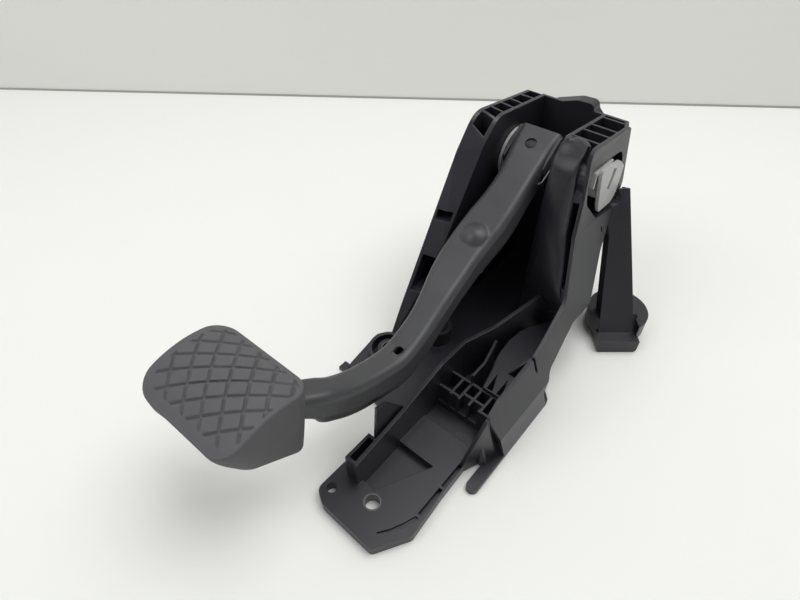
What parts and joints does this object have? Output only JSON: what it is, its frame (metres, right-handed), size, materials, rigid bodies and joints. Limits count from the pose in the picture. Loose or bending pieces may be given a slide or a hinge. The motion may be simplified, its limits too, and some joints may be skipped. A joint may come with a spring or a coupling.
{
  "type": "brake pedal",
  "caption": "Hanging brake pedal: pressed-steel arm with a grooved rubber pad, pivoting in a hollow ribbed plastic bearing bracket with a flared mounting base and brace.",
  "frame": {"origin": "axis of the tongue's stud bore at the mounting plane", "axes": "+Z away from the mounting plane, +Y from the pad towards the pivot and back wall, +X to the right as the driver sees it; the pivot runs along X"},
  "size_m": [0.1764, 0.334, 0.157],
  "materials": {
    "bracket_nylon": "satin black moulded nylon",
    "arm_paint": "satin black electro-coat",
    "pad_rubber": "matte black rubber",
    "buffer_rubber": "matte black rubber",
    "white_plastic": "natural white plastic",
    "zinc_steel": "zinc-plated steel",
    "spring_steel": "oiled spring wire"
  },
  "bodies": {
    "bracket": {"bearing_bracket": "bracket_nylon", "pivot_pin": "zinc_steel", "pin_washer": "zinc_steel", "bearing_lock": "white_plastic", "tongue_sleeve": "zinc_steel", "left_foot_sleeve": "zinc_steel", "right_foot_sleeve": "zinc_steel", "stop_buffer": "buffer_rubber", "inner_sleeve": "zinc_steel"},
    "pedal": {"arm_front_shell": "arm_paint", "arm_rear_shell": "arm_paint", "hub_tube": "arm_paint", "bush_left": "white_plastic", "bush_right": "white_plastic", "pushrod_clip": "white_plastic", "ball_socket": "buffer_rubber", "pad_plate": "arm_paint", "pedal_pad": "pad_rubber", "return_spring": "spring_steel"}
  },
  "joints": [
    {"name": "pedal_swing", "type": "hinge", "parent": "bracket", "child": "pedal", "pos_m": [-0.039, 0.225, 0.1195], "axis": [1, 0, 0], "range_deg": [0, 12], "stiffness_Nm_per_rad": 4, "springref_deg": -14.32, "deforming": ["return_spring"]}
  ]
}
